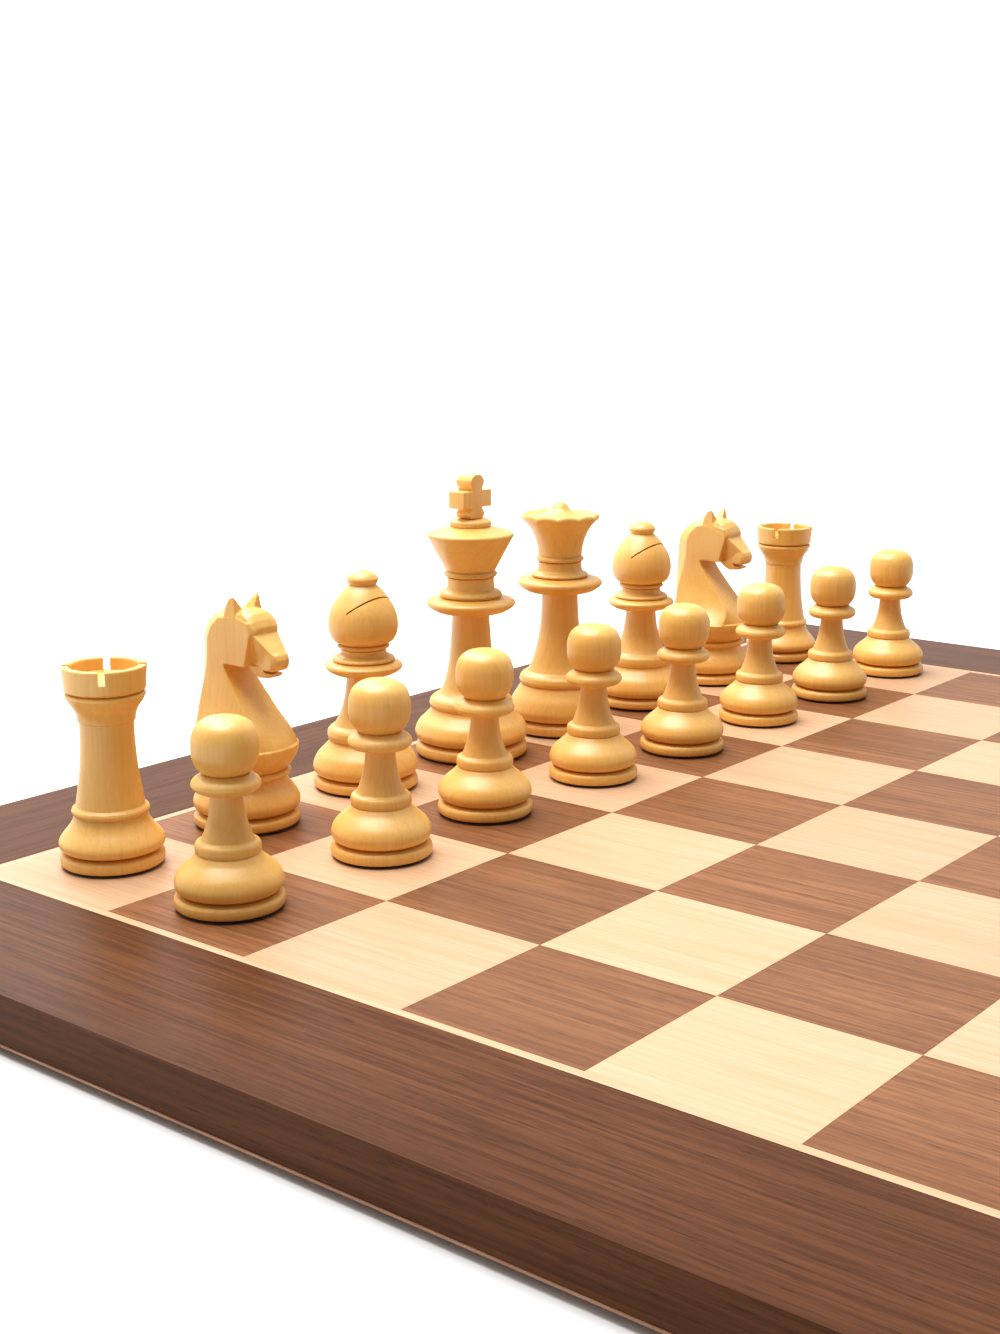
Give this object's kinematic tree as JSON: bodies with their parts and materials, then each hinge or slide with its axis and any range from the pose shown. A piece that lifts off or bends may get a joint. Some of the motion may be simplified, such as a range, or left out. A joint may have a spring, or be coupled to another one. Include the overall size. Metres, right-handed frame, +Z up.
{
  "type": "chess set with board",
  "caption": "Wooden chess set standing on its board: turned and carved pieces in pale and dark wood on inlaid squares with a walnut border.",
  "frame": {"origin": "centre of the board's plan, at the undersides of the feet, where the set stands", "axes": "+Z up; files a to h run toward +X and ranks 1 to 8 toward +Y, so White sits at -Y"},
  "size_m": [0.5, 0.5, 0.1091],
  "materials": {
    "boxwood": "turned and carved boxwood, golden, satin lacquer",
    "ebonised": "turned and carved hardwood, ebonised, satin lacquer",
    "maple": "maple veneer, satin",
    "walnut": "walnut veneer and solid walnut, satin",
    "core": "raw fibreboard",
    "felt": "dark green felt"
  },
  "bodies": {
    "board": {"board_core": "core", "backing_veneer": "walnut", "playing_field": "maple", "lipping_black": "walnut", "lipping_a_file": "walnut", "lipping_white": "walnut", "lipping_h_file": "walnut", "stringing_black": "maple", "stringing_a_file": "maple", "stringing_white": "maple", "stringing_h_file": "maple", "border_black": "walnut", "border_a_file": "walnut", "border_white": "walnut", "border_h_file": "walnut", "foot_a1": "felt", "foot_a8": "felt", "foot_h1": "felt", "foot_h8": "felt"},
    "white_rook_a": {"white_rook_a": "boxwood"},
    "white_knight_b": {"white_knight_b_base": "boxwood", "white_knight_b_head": "boxwood"},
    "white_bishop_c": {"white_bishop_c": "boxwood"},
    "white_queen": {"white_queen": "boxwood"},
    "white_king": {"white_king_body": "boxwood", "white_king_cross": "boxwood"},
    "white_bishop_f": {"white_bishop_f": "boxwood"},
    "white_knight_g": {"white_knight_g_base": "boxwood", "white_knight_g_head": "boxwood"},
    "white_rook_h": {"white_rook_h": "boxwood"},
    "white_pawn_a": {"white_pawn_a": "boxwood"},
    "white_pawn_b": {"white_pawn_b": "boxwood"},
    "white_pawn_c": {"white_pawn_c": "boxwood"},
    "white_pawn_d": {"white_pawn_d": "boxwood"},
    "white_pawn_e": {"white_pawn_e": "boxwood"},
    "white_pawn_f": {"white_pawn_f": "boxwood"},
    "white_pawn_g": {"white_pawn_g": "boxwood"},
    "white_pawn_h": {"white_pawn_h": "boxwood"},
    "black_rook_a": {"black_rook_a": "ebonised"},
    "black_knight_b": {"black_knight_b_base": "ebonised", "black_knight_b_head": "ebonised"},
    "black_bishop_c": {"black_bishop_c": "ebonised"},
    "black_queen": {"black_queen": "ebonised"},
    "black_king": {"black_king_body": "ebonised", "black_king_cross": "ebonised"},
    "black_bishop_f": {"black_bishop_f": "ebonised"},
    "black_knight_g": {"black_knight_g_base": "ebonised", "black_knight_g_head": "ebonised"},
    "black_rook_h": {"black_rook_h": "ebonised"},
    "black_pawn_a": {"black_pawn_a": "ebonised"},
    "black_pawn_b": {"black_pawn_b": "ebonised"},
    "black_pawn_c": {"black_pawn_c": "ebonised"},
    "black_pawn_d": {"black_pawn_d": "ebonised"},
    "black_pawn_e": {"black_pawn_e": "ebonised"},
    "black_pawn_f": {"black_pawn_f": "ebonised"},
    "black_pawn_g": {"black_pawn_g": "ebonised"},
    "black_pawn_h": {"black_pawn_h": "ebonised"}
  },
  "joints": [
    {"name": "white_rook_a_lift", "type": "slide", "parent": "board", "child": "white_rook_a", "axis": [0, 0, 1], "range_m": [0, 0.12]},
    {"name": "white_knight_b_lift", "type": "slide", "parent": "board", "child": "white_knight_b", "axis": [0, 0, 1], "range_m": [0, 0.12]},
    {"name": "white_bishop_c_lift", "type": "slide", "parent": "board", "child": "white_bishop_c", "axis": [0, 0, 1], "range_m": [0, 0.12]},
    {"name": "white_queen_lift", "type": "slide", "parent": "board", "child": "white_queen", "axis": [0, 0, 1], "range_m": [0, 0.12]},
    {"name": "white_king_lift", "type": "slide", "parent": "board", "child": "white_king", "axis": [0, 0, 1], "range_m": [0, 0.12]},
    {"name": "white_bishop_f_lift", "type": "slide", "parent": "board", "child": "white_bishop_f", "axis": [0, 0, 1], "range_m": [0, 0.12]},
    {"name": "white_knight_g_lift", "type": "slide", "parent": "board", "child": "white_knight_g", "axis": [0, 0, 1], "range_m": [0, 0.12]},
    {"name": "white_rook_h_lift", "type": "slide", "parent": "board", "child": "white_rook_h", "axis": [0, 0, 1], "range_m": [0, 0.12]},
    {"name": "white_pawn_a_lift", "type": "slide", "parent": "board", "child": "white_pawn_a", "axis": [0, 0, 1], "range_m": [0, 0.12]},
    {"name": "white_pawn_b_lift", "type": "slide", "parent": "board", "child": "white_pawn_b", "axis": [0, 0, 1], "range_m": [0, 0.12]},
    {"name": "white_pawn_c_lift", "type": "slide", "parent": "board", "child": "white_pawn_c", "axis": [0, 0, 1], "range_m": [0, 0.12]},
    {"name": "white_pawn_d_lift", "type": "slide", "parent": "board", "child": "white_pawn_d", "axis": [0, 0, 1], "range_m": [0, 0.12]},
    {"name": "white_pawn_e_lift", "type": "slide", "parent": "board", "child": "white_pawn_e", "axis": [0, 0, 1], "range_m": [0, 0.12]},
    {"name": "white_pawn_f_lift", "type": "slide", "parent": "board", "child": "white_pawn_f", "axis": [0, 0, 1], "range_m": [0, 0.12]},
    {"name": "white_pawn_g_lift", "type": "slide", "parent": "board", "child": "white_pawn_g", "axis": [0, 0, 1], "range_m": [0, 0.12]},
    {"name": "white_pawn_h_lift", "type": "slide", "parent": "board", "child": "white_pawn_h", "axis": [0, 0, 1], "range_m": [0, 0.12]},
    {"name": "black_rook_a_lift", "type": "slide", "parent": "board", "child": "black_rook_a", "axis": [0, 0, 1], "range_m": [0, 0.12]},
    {"name": "black_knight_b_lift", "type": "slide", "parent": "board", "child": "black_knight_b", "axis": [0, 0, 1], "range_m": [0, 0.12]},
    {"name": "black_bishop_c_lift", "type": "slide", "parent": "board", "child": "black_bishop_c", "axis": [0, 0, 1], "range_m": [0, 0.12]},
    {"name": "black_queen_lift", "type": "slide", "parent": "board", "child": "black_queen", "axis": [0, 0, 1], "range_m": [0, 0.12]},
    {"name": "black_king_lift", "type": "slide", "parent": "board", "child": "black_king", "axis": [0, 0, 1], "range_m": [0, 0.12]},
    {"name": "black_bishop_f_lift", "type": "slide", "parent": "board", "child": "black_bishop_f", "axis": [0, 0, 1], "range_m": [0, 0.12]},
    {"name": "black_knight_g_lift", "type": "slide", "parent": "board", "child": "black_knight_g", "axis": [0, 0, 1], "range_m": [0, 0.12]},
    {"name": "black_rook_h_lift", "type": "slide", "parent": "board", "child": "black_rook_h", "axis": [0, 0, 1], "range_m": [0, 0.12]},
    {"name": "black_pawn_a_lift", "type": "slide", "parent": "board", "child": "black_pawn_a", "axis": [0, 0, 1], "range_m": [0, 0.12]},
    {"name": "black_pawn_b_lift", "type": "slide", "parent": "board", "child": "black_pawn_b", "axis": [0, 0, 1], "range_m": [0, 0.12]},
    {"name": "black_pawn_c_lift", "type": "slide", "parent": "board", "child": "black_pawn_c", "axis": [0, 0, 1], "range_m": [0, 0.12]},
    {"name": "black_pawn_d_lift", "type": "slide", "parent": "board", "child": "black_pawn_d", "axis": [0, 0, 1], "range_m": [0, 0.12]},
    {"name": "black_pawn_e_lift", "type": "slide", "parent": "board", "child": "black_pawn_e", "axis": [0, 0, 1], "range_m": [0, 0.12]},
    {"name": "black_pawn_f_lift", "type": "slide", "parent": "board", "child": "black_pawn_f", "axis": [0, 0, 1], "range_m": [0, 0.12]},
    {"name": "black_pawn_g_lift", "type": "slide", "parent": "board", "child": "black_pawn_g", "axis": [0, 0, 1], "range_m": [0, 0.12]},
    {"name": "black_pawn_h_lift", "type": "slide", "parent": "board", "child": "black_pawn_h", "axis": [0, 0, 1], "range_m": [0, 0.12]}
  ]
}
